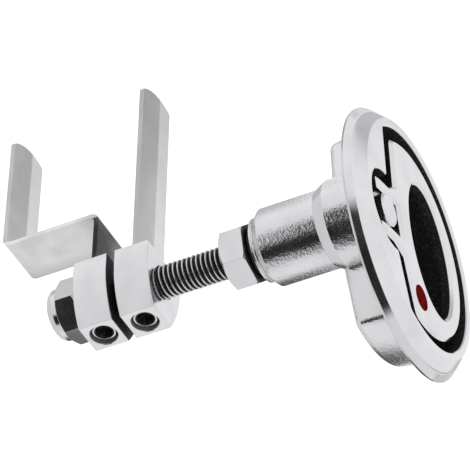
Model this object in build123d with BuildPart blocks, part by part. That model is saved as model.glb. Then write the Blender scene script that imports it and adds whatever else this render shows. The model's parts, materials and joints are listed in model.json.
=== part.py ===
from build123d import *
import math
import os

# Flush compression latch: a round bezel with a keyed recess, a fold-flat pull handle, a sprung
# spindle in a bearing barrel, and a threaded stud that carries two adjustable catch arms.
#
# Frame, in millimetres: the origin is the centre of the bezel on its seating plane, +Z points out
# of the front face, the handle folds down toward -Y and the spindle stands at +Y of the centre.
# Modelled closed: the handle lies flush and its heels hold the spindle drawn forward.

# ---- fits ----
RUN_FIT = 0.05            # radial gap of a running fit
PRESS_GAP = 0.02          # radial gap that stands for a press fit
THREAD_GAP = 0.05         # radial gap between a threaded rod and its nut
SEAT_GAP = 0.05           # gap between faces that bear on each other
EASE_GAP = 0.3            # gap round a loosely seated ring

# ---- bezel and cup ----
RECESS_R = 33.9           # mouth of the handle recess
FACE_RING_W = 2.5         # flat front ring round that mouth
BAND_W = 4.9              # sloping band from the front ring out to the rim
RIM_LAND = 0.4            # straight edge before the crowned band starts
BEZEL_T = 5.8             # seating plane to front face
BAND_BULGE = 0.2          # crown of the band between rim and front ring
CUP_DRAFT = 9.0           # degrees by which the cup narrows behind the seating plane
CUP_WALL = 1.3            # wall of the cup behind the bezel
CUP_DEPTH = 11.8          # cup floor, outside, behind the seating plane
FLOOR_T = 2.4             # cup floor thickness
SHOULDER_DROP = 1.8       # recess shoulder below the spindle axis
SHOULDER_SLOPE = 10.0     # degrees by which each shoulder falls away
CORNER_R = 2.5            # blend where a shoulder meets the round wall
LIP = 0.35                # eased mouth edge of the recess
CUP_EDGE_R = 2.5          # outside edge of the cup floor

# ---- spindle pocket and bearing barrel ----
POCKET_R = 12.2           # round pocket about the spindle
POCKET_PROUD = 0.3        # how far the pocket reaches past the circle of the mouth
BARREL_WALL = 3.0         # wall of the bearing barrel round the spring chamber
BARREL_END = 34.0         # rear end of the barrel behind the seating plane
BARREL_NOSE = 3.2         # length of the nose, taper and grooved end
NOSE_WALL = 1.0           # wall at the end of the taper, and the lip behind the groove
NOSE_GROOVE_W = 0.6       # groove round the end of the nose
NOSE_GROOVE_T = 0.45      # depth of that groove
NOSE_LIP_T = 0.5          # lip behind the groove
HUB_TAPER = 3.6           # length of the taper from pocket wall to barrel
WEB_T = 3.6               # web between pocket floor and spring chamber
CHAMBER_R = 8.6           # spring chamber and rear bush bore
FRONT_BUSH_WALL = 2.0     # wall of the front bush, in the bore of the web

# ---- spindle ----
SPINDLE_R = 5.0
SPINDLE_CHAMFER = 0.5
SOCKET_R = 7.5            # rear socket end that takes the stud
SOCKET_REACH = 2.0        # how far the socket end stands out of the barrel
STUD_HOLD = 8.5           # depth of stud inside the socket end
DRAW = 4.0                # spindle travel as the handle lifts a quarter turn
PIN_R = 2.0
PIN_Z = 1.5               # pivot axis above the seating plane
PIN_HEAD_CHAMFER = 0.3

# ---- bushes, washer, seal, spring ----
WASHER_T = 1.5
BUSH_FLANGE_T = 1.2
SEAL_SIDE = 1.6           # side of the square spindle seal
SEAL_GROOVE_GAP = 0.2     # room at each side of the seal in its groove
SPRING_LENGTH = 10.2      # spring height with the latch closed
SPRING_WIRE = 1.5         # side of the square spring wire
SPRING_TURNS = 4
SPRING_SEAT_T = 1.2
REAR_BUSH_LENGTH = 3.6

# ---- handle ----
HANDLE_RING_GAP = 3.5     # gap between the round parts of handle and recess
HANDLE_TOP = 5.5
HANDLE_T = 4.2
SHOULDER_GAP = 6.8        # groove between recess shoulder and handle shoulder
JAW_GAP = 0.3             # gap between spindle head and each prong
PRONG_T = 3.5
PRONG_FLARE = 2.6         # extra half width where a prong meets the plate
JAW_DROP = 8.7            # bottom of the jaw below the spindle axis
TIP_REACH = 5.2           # prong end beyond the pivot axis
LIFT = 90                 # degrees from flush to fully lifted
CAM_STEP = 15             # degrees of lift between the points of the heel's cam
HEEL_FLAT = 5.0           # heel flat behind the pivot axis
HEEL_RAMP_Y = 9.0         # where the heel runs out into the plate, behind the pivot axis
HOLE_A = 21.3             # finger hole, half width
HOLE_B = 14.3             # finger hole, half height
HOLE_Y = -9.3
HANDLE_EDGE = 0.9         # bevel round the handle's top edge
HOLE_EDGE = 0.8
HANDLE_CORNER_R = 3.0
DOT_R = 3.9               # red indicator
DOT_INSET = 9.1           # from the handle's round edge to the middle of the indicator
DOT_Y = 5.9
DOT_T = 1.2
DOT_PROUD = 0.12

# ---- stud and nuts ----
STUD_R = 5.0
STUD_CHAMFER = 0.8
NUT_FLATS = 17.0          # across flats, both nuts
JAM_NUT_T = 8.0
JAM_NUT_TURN = 16.0       # degrees from the arm direction to a corner
NUT_CHAMFER = 0.9         # length of the corner chamfer along the nut
NUT_CHAMFER_CUT = 0.1     # how far that chamfer reaches into the flats
LOCK_NUT_HEX_T = 7.0
LOCK_NUT_TURN = 46.0
LOCK_COLLAR_WALL = 1.6    # collar round the nylon ring
LOCK_COLLAR_T = 3.6
LOCK_COLLAR_ROUND = 2.2
INSERT_W = 1.3            # width of the nylon ring round the stud
INSERT_T = 2.4
STUD_PAST_NUT = 0.5

# ---- clamp blocks and arms ----
ARM_ANGLE = -16.5         # degrees from +X to the arms, about the spindle
THREAD_SHOWN = 21.75      # bare thread between the jam nut and the inner block
BLOCK_SPACING = 2.3       # bare thread between the two blocks
BLOCK_T = 11.1
BLOCK_HALF_W = 10.4
BLOCK_TOP = 8.3           # from the spindle axis toward the arm
BLOCK_FOOT = 13.0         # from the spindle axis toward the set screw
BLOCK_FOOT_HALF_W = 5.3
BLOCK_STRAIGHT = 5.0      # straight flank before the waisted part
BLOCK_EDGE = 0.35
ARM_HALF_W = 8.3
ARM_T = 1.5
ARM_SLOT_GAP = 0.1
ARM_TAIL = 7.4            # flat tail beyond the spindle axis
ARM_TAIL_HALF_W = 5.6
ARM_TIP_OFFSET = 3.0      # highest point of the tip, off the middle to the trailing side
ARM_TIP_LEAD = 4.2        # how far the leading corner lies below that point
ARM_TIP_TRAIL = 0.9       # how far the trailing corner lies below it
INNER_ARM_REACH = 78.5
OUTER_ARM_REACH = 74.0
OUTER_ARM_RISE = 27.6     # middle of the stepped leg above the spindle axis
OUTER_ARM_STEP = 31.2     # how far the outer arm steps back
BEND_R = 1.5              # inside bend radius
SCREW_R = 4.0
SCREW_SUNK = 1.2
SCREW_SOCKET = 5.0        # across flats
SCREW_CHAMFER = 0.6       # at the socket end
TAPPED_CHAMFER = 0.25     # at the mouth of each tapped hole
SCREW_SOCKET_T = 2.8

# ---- places worked out from the sizes above ----
FACE_R = RECESS_R + FACE_RING_W
RIM_R = FACE_R + BAND_W
SPINDLE_Y = RECESS_R + POCKET_PROUD - POCKET_R
SHOULDER_Y = SPINDLE_Y - SHOULDER_DROP
BUSH_BORE_R = SPINDLE_R + FRONT_BUSH_WALL
HANDLE_R = RECESS_R - HANDLE_RING_GAP
DOT_X = DOT_INSET - HANDLE_R
JAW_HALF = SPINDLE_R + JAW_GAP
JAW_Y = SPINDLE_Y - JAW_DROP
FLOOR_Z = FLOOR_T - CUP_DEPTH
WASHER_TOP = FLOOR_Z + WASHER_T
HEEL_LONG = PIN_Z - WASHER_TOP - SEAT_GAP
HUB_END = FLOOR_Z - WEB_T
SPRING_TOP = HUB_END - BUSH_FLANGE_T
SPRING_FOOT = SPRING_TOP - SPRING_LENGTH
COLLAR_TOP = SPRING_FOOT - SPRING_SEAT_T
SEAL_TOP = (FLOOR_Z + SPRING_TOP + SEAL_SIDE) / 2
SPINDLE_END = -BARREL_END - SOCKET_REACH
STUD_FRONT = SPINDLE_END + STUD_HOLD
JAM_NUT_FRONT = SPINDLE_END - SEAT_GAP
INNER_BLOCK_Z = JAM_NUT_FRONT - JAM_NUT_T - THREAD_SHOWN - BLOCK_T / 2
OUTER_BLOCK_Z = INNER_BLOCK_Z - BLOCK_T - BLOCK_SPACING
LOCK_NUT_FRONT = OUTER_BLOCK_Z - BLOCK_T / 2
LOCK_HEX_END = LOCK_NUT_FRONT - LOCK_NUT_HEX_T
LOCK_NUT_END = LOCK_HEX_END - LOCK_COLLAR_T
STUD_END = LOCK_NUT_END - STUD_PAST_NUT
BOSS_R = POCKET_R + CUP_WALL
BARREL_R = CHAMBER_R + BARREL_WALL
NOSE_R = CHAMBER_R + NOSE_WALL
INSERT_R = STUD_R + INSERT_W
LOCK_COLLAR_R = INSERT_R + LOCK_COLLAR_WALL
NUT_CORNER_R = NUT_FLATS / 2 / math.cos(math.pi / 6)


def spindle_plane(z):
    """Plane across the spindle axis at height z."""
    return Plane(origin=(0, SPINDLE_Y, z))


def arm_plane(z):
    """Plane across the spindle axis whose x direction points along the arms."""
    turn = math.radians(ARM_ANGLE)
    return Plane(origin=(0, SPINDLE_Y, z), x_dir=(math.cos(turn), math.sin(turn), 0), z_dir=(0, 0, 1))


def arm_side_plane(side):
    """Plane along the arms and the spindle axis, set off sideways: x outward, y along +Z."""
    turn = math.radians(ARM_ANGLE)
    along = Vector(math.cos(turn), math.sin(turn), 0)
    across = Vector(math.sin(turn), -math.cos(turn), 0)
    return Plane(origin=Vector(0, SPINDLE_Y, 0) + across * side, x_dir=along, z_dir=across)


def roofed_circle(radius, shoulder_y, corner):
    """Circle cut off by two shoulders that fall away from the spindle pocket."""
    fall = math.tan(math.radians(SHOULDER_SLOPE))
    ridge = shoulder_y + POCKET_R * fall
    eaves = ridge - radius * fall
    with BuildSketch() as outline:
        Circle(radius)
        with BuildLine():
            Polyline((0, ridge), (radius, eaves), (radius, radius), (-radius, radius), (-radius, eaves),
                     (0, ridge))
        make_face(mode=Mode.SUBTRACT)
        eaves_corners = outline.vertices().group_by(Axis.Y)[-2]
        fillet(eaves_corners, corner)
    return outline.sketch


def recess_outline(grow):
    """Outline of the handle recess at its mouth, or of the cup round it when it grows by the wall."""
    return roofed_circle(RECESS_R + grow, SHOULDER_Y + grow, CORNER_R + grow)


def make_housing():
    """Cast bezel, cup and hub in one piece."""
    with BuildPart() as housing:
        with BuildSketch(Plane.XZ):
            with BuildLine():
                band_start = (RIM_R, RIM_LAND)
                band_end = (FACE_R, BEZEL_T)
                Polyline((0, BEZEL_T), (0, 0), (RIM_R, 0), band_start)
                SagittaArc(band_start, band_end, -BAND_BULGE)
                Line(band_end, (0, BEZEL_T))
            make_face()
        revolve(axis=Axis.Z)
        with BuildSketch():
            add(recess_outline(CUP_WALL))
        extrude(amount=-CUP_DEPTH, taper=CUP_DRAFT)
        floor_edges = housing.faces().sort_by(Axis.Z)[0].edges()
        fillet(floor_edges, CUP_EDGE_R)
        with BuildSketch(Plane.YZ):
            with BuildLine():
                Polyline((SPINDLE_Y, 0), (SPINDLE_Y + BOSS_R, 0), (SPINDLE_Y + BOSS_R, HUB_END + HUB_TAPER),
                         (SPINDLE_Y + BARREL_R, HUB_END), (SPINDLE_Y, HUB_END), (SPINDLE_Y, 0))
            make_face()
        revolve(axis=Axis((0, SPINDLE_Y, 0), (0, 0, 1)))
        with BuildSketch():
            add(recess_outline(0))
        extrude(amount=FLOOR_Z, taper=CUP_DRAFT, mode=Mode.SUBTRACT)
        with BuildSketch():
            add(recess_outline(0))
            with Locations((0, SPINDLE_Y)):
                Circle(POCKET_R)
        extrude(amount=BEZEL_T, mode=Mode.SUBTRACT)
        with BuildSketch(spindle_plane(FLOOR_Z)):
            Circle(POCKET_R)
        extrude(amount=-FLOOR_Z, mode=Mode.SUBTRACT)
        mouth_edges = housing.faces().sort_by(Axis.Z)[-1].inner_wires()[0].edges()
        chamfer(mouth_edges, LIP)
        with BuildSketch(spindle_plane(FLOOR_Z)):
            Circle(BUSH_BORE_R)
        extrude(amount=-WEB_T, mode=Mode.SUBTRACT)
    housing.part.label = "housing"
    export_step(housing.part, "parts/housing.step")


def make_bearing_barrel():
    """Sleeve behind the hub, with a grooved nose, that holds the spring and the rear bush."""
    with BuildPart() as bearing_barrel:
        with BuildSketch(Plane.YZ):
            with BuildLine():
                outside = SPINDLE_Y + BARREL_R
                lip = SPINDLE_Y + NOSE_R
                groove = lip - NOSE_GROOVE_T
                lip_z = NOSE_LIP_T - BARREL_END
                groove_z = lip_z + NOSE_GROOVE_W
                Polyline((SPINDLE_Y + CHAMBER_R, HUB_END), (outside, HUB_END),
                         (outside, BARREL_NOSE - BARREL_END), (lip, groove_z), (groove, groove_z),
                         (groove, lip_z), (lip, lip_z), (lip, -BARREL_END),
                         (SPINDLE_Y + CHAMBER_R, -BARREL_END), (SPINDLE_Y + CHAMBER_R, HUB_END))
            make_face()
        revolve(axis=Axis((0, SPINDLE_Y, 0), (0, 0, 1)))
    bearing_barrel.part.label = "bearing_barrel"
    export_step(bearing_barrel.part, "parts/bearing_barrel.step")


def make_front_bush():
    """Flanged bush in the web, grooved inside for the spindle seal."""
    with BuildPart() as front_bush:
        with BuildSketch(spindle_plane(FLOOR_Z)):
            Circle(BUSH_BORE_R - PRESS_GAP)
        extrude(amount=-WEB_T)
        with BuildSketch(spindle_plane(HUB_END)):
            Circle(CHAMBER_R - PRESS_GAP)
        extrude(amount=-BUSH_FLANGE_T)
        with BuildSketch(spindle_plane(FLOOR_Z)):
            Circle(SPINDLE_R + RUN_FIT)
        extrude(amount=-WEB_T - BUSH_FLANGE_T, mode=Mode.SUBTRACT)
        with BuildSketch(spindle_plane(SEAL_TOP + SEAL_GROOVE_GAP)):
            Circle(SPINDLE_R + SEAL_SIDE + 2 * RUN_FIT)
        extrude(amount=-SEAL_SIDE - 2 * SEAL_GROOVE_GAP, mode=Mode.SUBTRACT)
    front_bush.part.label = "front_bush"
    export_step(front_bush.part, "parts/front_bush.step")


def make_spindle_seal():
    """Square-section rubber ring round the spindle, in the middle of the front bush."""
    with BuildPart() as spindle_seal:
        with BuildSketch(spindle_plane(SEAL_TOP)):
            Circle(SPINDLE_R + RUN_FIT + SEAL_SIDE)
            Circle(SPINDLE_R + RUN_FIT, mode=Mode.SUBTRACT)
        extrude(amount=-SEAL_SIDE)
    spindle_seal.part.label = "spindle_seal"
    export_step(spindle_seal.part, "parts/spindle_seal.step")


def make_thrust_washer():
    """Hard washer on the pocket floor that the handle heels ride on."""
    with BuildPart() as thrust_washer:
        with BuildSketch(spindle_plane(FLOOR_Z)):
            Circle(POCKET_R - EASE_GAP)
            Circle(SPINDLE_R + EASE_GAP, mode=Mode.SUBTRACT)
        extrude(amount=WASHER_T)
    thrust_washer.part.label = "thrust_washer"
    export_step(thrust_washer.part, "parts/thrust_washer.step")


def make_return_spring():
    """Square-wire compression spring with ground ends, loose in its chamber."""
    pitch = SPRING_LENGTH / SPRING_TURNS
    mean_r = CHAMBER_R - 2 * EASE_GAP - SPRING_WIRE / 2
    with BuildPart() as return_spring:
        with BuildLine():
            wire_path = Helix(pitch, SPRING_LENGTH, mean_r, center=(0, SPINDLE_Y, SPRING_FOOT))
        with BuildSketch(Plane(origin=wire_path @ 0, x_dir=(1, 0, 0), z_dir=wire_path % 0)):
            Rectangle(SPRING_WIRE, SPRING_WIRE)
        sweep(is_frenet=True)
        with BuildSketch(spindle_plane(SPRING_FOOT + SEAT_GAP)):
            Circle(CHAMBER_R)
        extrude(amount=SPRING_LENGTH - 2 * SEAT_GAP, mode=Mode.INTERSECT)
    return_spring.part.label = "return_spring"
    export_step(return_spring.part, "parts/return_spring.step")


def make_spring_seat():
    """Washer between the spring and the shoulder of the spindle."""
    with BuildPart() as spring_seat:
        with BuildSketch(spindle_plane(COLLAR_TOP)):
            Circle(CHAMBER_R - EASE_GAP)
            Circle(SPINDLE_R + RUN_FIT, mode=Mode.SUBTRACT)
        extrude(amount=SPRING_SEAT_T)
    spring_seat.part.label = "spring_seat"
    export_step(spring_seat.part, "parts/spring_seat.step")


def make_rear_bush():
    """Bush pressed into the end of the barrel, which guides the socket end."""
    with BuildPart() as rear_bush:
        with BuildSketch(spindle_plane(-BARREL_END)):
            Circle(CHAMBER_R - PRESS_GAP)
            Circle(SOCKET_R + RUN_FIT, mode=Mode.SUBTRACT)
        extrude(amount=REAR_BUSH_LENGTH)
    rear_bush.part.label = "rear_bush"
    export_step(rear_bush.part, "parts/rear_bush.step")


def make_spindle():
    """Stepped spindle: round head with a cross hole, plain stem, and a socket for the stud."""
    with BuildPart() as spindle:
        with BuildSketch(spindle_plane(BEZEL_T)):
            Circle(SPINDLE_R)
        extrude(amount=COLLAR_TOP - BEZEL_T)
        chamfer(spindle.faces().sort_by(Axis.Z)[-1].edges(), SPINDLE_CHAMFER)
        with BuildSketch(spindle_plane(COLLAR_TOP)):
            Circle(SOCKET_R)
        extrude(amount=SPINDLE_END - COLLAR_TOP)
        chamfer(spindle.faces().sort_by(Axis.Z)[0].edges(), SPINDLE_CHAMFER)
        with BuildSketch(spindle_plane(SPINDLE_END)):
            Circle(STUD_R + THREAD_GAP)
        extrude(amount=STUD_HOLD + SEAT_GAP, mode=Mode.SUBTRACT)
        with BuildSketch(Plane.YZ.offset(-SPINDLE_R)):
            with Locations((SPINDLE_Y, PIN_Z)):
                Circle(PIN_R + PRESS_GAP)
        extrude(amount=2 * SPINDLE_R, mode=Mode.SUBTRACT)
    spindle.part.label = "spindle"
    export_step(spindle.part, "parts/spindle.step")


def make_pivot_pin():
    """Cross pin through both prongs and the spindle head."""
    half = JAW_HALF + PRONG_T
    with BuildPart() as pivot_pin:
        with BuildSketch(Plane.YZ.offset(-half)):
            with Locations((SPINDLE_Y, PIN_Z)):
                Circle(PIN_R)
        extrude(amount=2 * half)
        chamfer(pivot_pin.faces().filter_by(Plane.YZ).edges(), PIN_HEAD_CHAMFER)
    pivot_pin.part.label = "pivot_pin"
    export_step(pivot_pin.part, "parts/pivot_pin.step")


def heel_point(lift):
    """Point of the heel that bears on the washer when the handle is lifted by that many degrees.

    The distance from pivot axis to washer falls evenly with the lift, and the heel is the
    envelope of the washer's face as seen from the handle.
    """
    angle = math.radians(lift)
    rate = DRAW / math.radians(LIFT)
    reach = HEEL_LONG - rate * angle
    y = reach * math.sin(angle) - rate * math.cos(angle)
    z = -reach * math.cos(angle) - rate * math.sin(angle)
    return (SPINDLE_Y + y, PIN_Z + z)


def handle_outline():
    """Plan of the handle: a roofed circle with two prongs either side of the spindle."""
    root = JAW_HALF + PRONG_T + PRONG_FLARE
    side = JAW_HALF + PRONG_T
    tip_y = SPINDLE_Y + TIP_REACH
    shoulder = SHOULDER_Y - SHOULDER_GAP
    with BuildSketch() as outline:
        add(roofed_circle(HANDLE_R, shoulder, HANDLE_CORNER_R))
        with BuildLine():
            Polyline((-root, JAW_Y - PRONG_T), (root, JAW_Y - PRONG_T), (root, shoulder),
                     (side, SPINDLE_Y - PRONG_FLARE), (side, tip_y), (-side, tip_y),
                     (-side, SPINDLE_Y - PRONG_FLARE), (-root, shoulder), (-root, JAW_Y - PRONG_T))
        make_face()
        with BuildLine():
            Polyline((-JAW_HALF, JAW_Y), (JAW_HALF, JAW_Y), (JAW_HALF, 2 * tip_y), (-JAW_HALF, 2 * tip_y),
                     (-JAW_HALF, JAW_Y))
        make_face(mode=Mode.SUBTRACT)
    return outline.sketch


def make_handle():
    """Flush pull handle with a finger hole, two prongs and their cam heels."""
    cam_points = [heel_point(lift) for lift in range(0, LIFT + 1, CAM_STEP)]
    heel_back = (SPINDLE_Y - HEEL_FLAT, PIN_Z - HEEL_LONG)
    ramp = (SPINDLE_Y - HEEL_RAMP_Y, HANDLE_TOP - HANDLE_T)
    tip_y = SPINDLE_Y + TIP_REACH
    with BuildPart() as handle:
        with BuildSketch(Plane.XY.offset(HANDLE_TOP - HANDLE_T)):
            add(handle_outline())
        extrude(amount=HANDLE_T)
        chamfer(handle.faces().sort_by(Axis.Z)[-1].edges(), HANDLE_EDGE)
        with BuildSketch(Plane.XY.offset(HANDLE_TOP)):
            with Locations((0, HOLE_Y)):
                Ellipse(HOLE_A, HOLE_B)
        extrude(amount=-HANDLE_T, mode=Mode.SUBTRACT)
        hole_edges = handle.edges().filter_by(GeomType.ELLIPSE)
        chamfer(hole_edges, HOLE_EDGE)
        for side in (-JAW_HALF - PRONG_T, JAW_HALF):
            with BuildSketch(Plane.YZ.offset(side)):
                with BuildLine():
                    Spline(*cam_points)
                    Polyline(cam_points[-1], (tip_y, HANDLE_TOP - HANDLE_EDGE),
                             (SPINDLE_Y - HEEL_RAMP_Y, HANDLE_TOP - HANDLE_EDGE), ramp, heel_back,
                             cam_points[0])
                make_face()
            extrude(amount=PRONG_T)
        with BuildSketch(Plane.YZ.offset(-JAW_HALF - PRONG_T)):
            with Locations((SPINDLE_Y, PIN_Z)):
                Circle(PIN_R + RUN_FIT)
        extrude(amount=2 * (JAW_HALF + PRONG_T), mode=Mode.SUBTRACT)
        with BuildSketch(Plane.XY.offset(HANDLE_TOP)):
            with Locations((DOT_X, DOT_Y)):
                Circle(DOT_R)
        extrude(amount=-DOT_T, mode=Mode.SUBTRACT)
    handle.part.label = "handle"
    export_step(handle.part, "parts/handle.step")


def make_red_indicator():
    """Red enamel button set into the handle."""
    with BuildPart() as red_indicator:
        with BuildSketch(Plane.XY.offset(HANDLE_TOP - DOT_T)):
            with Locations((DOT_X, DOT_Y)):
                Circle(DOT_R - PRESS_GAP)
        extrude(amount=DOT_T + DOT_PROUD)
    red_indicator.part.label = "red_indicator"
    export_step(red_indicator.part, "parts/red_indicator.step")


def make_stud():
    """Threaded stud, modelled at its outer diameter."""
    with BuildPart() as stud:
        with BuildSketch(spindle_plane(STUD_FRONT)):
            Circle(STUD_R)
        extrude(amount=STUD_END - STUD_FRONT)
        chamfer(stud.faces().filter_by(Plane.XY).edges(), STUD_CHAMFER)
    stud.part.label = "stud"
    export_step(stud.part, "parts/stud.step")


def nut_blank_cone(front, thickness):
    """Round blank with chamfered rims that trims the corners of a hexagon."""
    with BuildPart() as blank:
        with BuildSketch(spindle_plane(front)):
            Circle(NUT_CORNER_R)
        extrude(amount=-thickness)
        cut = NUT_CORNER_R - NUT_FLATS / 2 + NUT_CHAMFER_CUT
        chamfer(blank.faces().filter_by(Plane.XY).edges(), NUT_CHAMFER, cut)
    return blank.part


def make_jam_nut():
    """Full hexagon nut that locks the stud against the socket end."""
    blank = nut_blank_cone(JAM_NUT_FRONT, JAM_NUT_T)
    with BuildPart() as jam_nut:
        with BuildSketch(arm_plane(JAM_NUT_FRONT)):
            RegularPolygon(NUT_FLATS / 2, 6, major_radius=False, rotation=JAM_NUT_TURN)
        extrude(amount=-JAM_NUT_T)
        add(blank, mode=Mode.INTERSECT)
        with BuildSketch(spindle_plane(JAM_NUT_FRONT)):
            Circle(STUD_R + THREAD_GAP)
        extrude(amount=-JAM_NUT_T, mode=Mode.SUBTRACT)
    jam_nut.part.label = "jam_nut"
    export_step(jam_nut.part, "parts/jam_nut.step")


def make_lock_nut():
    """Self-locking nut: hexagon, and a rounded collar with a groove for the nylon ring."""
    blank = nut_blank_cone(LOCK_NUT_FRONT, LOCK_NUT_HEX_T)
    with BuildPart() as lock_nut:
        with BuildSketch(arm_plane(LOCK_NUT_FRONT)):
            RegularPolygon(NUT_FLATS / 2, 6, major_radius=False, rotation=LOCK_NUT_TURN)
        extrude(amount=-LOCK_NUT_HEX_T)
        add(blank, mode=Mode.INTERSECT)
        with BuildSketch(spindle_plane(LOCK_HEX_END)):
            Circle(LOCK_COLLAR_R)
        extrude(amount=-LOCK_COLLAR_T)
        fillet(lock_nut.faces().sort_by(Axis.Z)[0].edges(), LOCK_COLLAR_ROUND)
        with BuildSketch(spindle_plane(LOCK_NUT_FRONT)):
            Circle(STUD_R + THREAD_GAP)
        extrude(amount=LOCK_NUT_END - LOCK_NUT_FRONT, mode=Mode.SUBTRACT)
        with BuildSketch(spindle_plane(LOCK_NUT_END + INSERT_T)):
            Circle(INSERT_R)
        extrude(amount=-INSERT_T, mode=Mode.SUBTRACT)
    lock_nut.part.label = "lock_nut"
    export_step(lock_nut.part, "parts/lock_nut.step")


def make_nylon_ring():
    """Nylon locking ring in the collar of the lock nut."""
    with BuildPart() as nylon_ring:
        with BuildSketch(spindle_plane(LOCK_NUT_END)):
            Circle(INSERT_R - PRESS_GAP)
            Circle(STUD_R + THREAD_GAP, mode=Mode.SUBTRACT)
        extrude(amount=INSERT_T)
    nylon_ring.part.label = "nylon_ring"
    export_step(nylon_ring.part, "parts/nylon_ring.step")


def arm_root_outline(top, grow):
    """Plan of the part of an arm that sits in its block: full width, stepped in to a narrow tail."""
    with BuildSketch() as outline:
        with BuildLine():
            wide = ARM_HALF_W + grow
            tail = ARM_TAIL_HALF_W + grow
            foot = -ARM_TAIL - grow
            Polyline((foot, -tail), (foot, tail), (-STUD_R / 2, wide), (top, wide), (top, -wide),
                     (-STUD_R / 2, -wide), (foot, -tail))
        make_face()
    return outline.sketch


def make_clamp_block(name, middle_z):
    """Clamp block: waisted toward its foot, slotted for the arm, tapped for a set screw."""
    with BuildPart() as clamp_block:
        with BuildSketch(arm_plane(middle_z - BLOCK_T / 2)):
            with BuildLine():
                flank = BLOCK_TOP - BLOCK_STRAIGHT
                upper = Line((BLOCK_TOP, BLOCK_HALF_W), (flank, BLOCK_HALF_W))
                lower = Line((BLOCK_TOP, -BLOCK_HALF_W), (flank, -BLOCK_HALF_W))
                Line((BLOCK_TOP, -BLOCK_HALF_W), (BLOCK_TOP, BLOCK_HALF_W))
                TangentArc(upper @ 1, (-BLOCK_FOOT, BLOCK_FOOT_HALF_W), tangent=upper % 1)
                TangentArc(lower @ 1, (-BLOCK_FOOT, -BLOCK_FOOT_HALF_W), tangent=lower % 1)
                Line((-BLOCK_FOOT, BLOCK_FOOT_HALF_W), (-BLOCK_FOOT, -BLOCK_FOOT_HALF_W))
            make_face()
        extrude(amount=BLOCK_T)
        fillet(clamp_block.faces().filter_by(Plane.XY).edges(), BLOCK_EDGE)
        with BuildSketch(arm_plane(middle_z - ARM_T / 2 - ARM_SLOT_GAP)):
            add(arm_root_outline(2 * BLOCK_TOP, ARM_SLOT_GAP))
        extrude(amount=ARM_T + 2 * ARM_SLOT_GAP, mode=Mode.SUBTRACT)
        with BuildSketch(arm_plane(middle_z - BLOCK_T / 2)):
            Circle(STUD_R + THREAD_GAP)
        extrude(amount=BLOCK_T, mode=Mode.SUBTRACT)
        with BuildSketch(screw_plane(BLOCK_FOOT, middle_z)):
            Circle(SCREW_R + THREAD_GAP)
        extrude(amount=BLOCK_FOOT - ARM_TAIL, mode=Mode.SUBTRACT)
        with BuildSketch(screw_plane(BLOCK_FOOT, middle_z)):
            Circle(SCREW_R + THREAD_GAP + TAPPED_CHAMFER)
        extrude(amount=TAPPED_CHAMFER, taper=45, mode=Mode.SUBTRACT)
    clamp_block.part.label = name
    export_step(clamp_block.part, f"parts/{name}.step")


def screw_plane(distance, middle_z):
    """Plane square to the arms, below the spindle axis, that looks up toward the arm tail."""
    turn = math.radians(ARM_ANGLE)
    along = Vector(math.cos(turn), math.sin(turn), 0)
    return Plane(origin=Vector(0, SPINDLE_Y, middle_z) - along * distance, x_dir=(0, 0, 1), z_dir=along)


def make_set_screw(name, middle_z):
    """Socket set screw that jams the arm tail against the stud."""
    head = BLOCK_FOOT - SCREW_SUNK
    with BuildPart() as set_screw:
        with BuildSketch(screw_plane(head, middle_z)):
            Circle(SCREW_R - SCREW_CHAMFER)
        extrude(amount=SCREW_CHAMFER, taper=-45)
        with BuildSketch(screw_plane(head - SCREW_CHAMFER, middle_z)):
            Circle(SCREW_R)
        extrude(amount=head - SCREW_CHAMFER - ARM_TAIL - SEAT_GAP)
        with BuildSketch(screw_plane(head, middle_z)):
            RegularPolygon(SCREW_SOCKET / 2, 6, major_radius=False)
        extrude(amount=SCREW_SOCKET_T, mode=Mode.SUBTRACT)
    set_screw.part.label = name
    export_step(set_screw.part, f"parts/{name}.step")


def tipped_blank(reach):
    """Plan of an arm: blank with a narrow tail, a stud hole and a rounded tip that leans to one side."""
    lead = reach - ARM_TIP_LEAD
    trail = reach - ARM_TIP_TRAIL
    with BuildSketch() as outline:
        add(arm_root_outline(lead, 0))
        with BuildLine():
            Line((lead, ARM_HALF_W), (lead, -ARM_HALF_W))
            Line((lead, -ARM_HALF_W), (trail, -ARM_HALF_W))
            ThreePointArc((trail, -ARM_HALF_W), (reach, -ARM_TIP_OFFSET), (lead, ARM_HALF_W))
        make_face()
        Circle(STUD_R + THREAD_GAP, mode=Mode.SUBTRACT)
    return outline.sketch


def make_inner_arm():
    """Straight flat catch arm."""
    with BuildPart() as inner_arm:
        with BuildSketch(arm_plane(INNER_BLOCK_Z - ARM_T / 2)):
            add(tipped_blank(INNER_ARM_REACH))
        extrude(amount=ARM_T)
    inner_arm.part.label = "inner_arm"
    export_step(inner_arm.part, "parts/inner_arm.step")


def make_outer_arm():
    """Flat catch arm with a double bend that steps its tip back from the panel."""
    half = ARM_T / 2
    back_z = OUTER_BLOCK_Z - OUTER_ARM_STEP
    outer_bend = BEND_R + ARM_T
    with BuildPart() as outer_arm:
        with BuildSketch(arm_side_plane(-ARM_HALF_W)):
            with BuildLine():
                FilletPolyline((-ARM_TAIL, OUTER_BLOCK_Z), (OUTER_ARM_RISE, OUTER_BLOCK_Z),
                               (OUTER_ARM_RISE, back_z), (OUTER_ARM_REACH, back_z), radius=BEND_R + half)
            trace(line_width=ARM_T)
        extrude(amount=2 * ARM_HALF_W)
        with BuildSketch(arm_plane(back_z - outer_bend)):
            add(tipped_blank(OUTER_ARM_REACH))
        extrude(amount=OUTER_ARM_STEP + 2 * outer_bend, mode=Mode.INTERSECT)
    outer_arm.part.label = "outer_arm"
    export_step(outer_arm.part, "parts/outer_arm.step")


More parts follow.
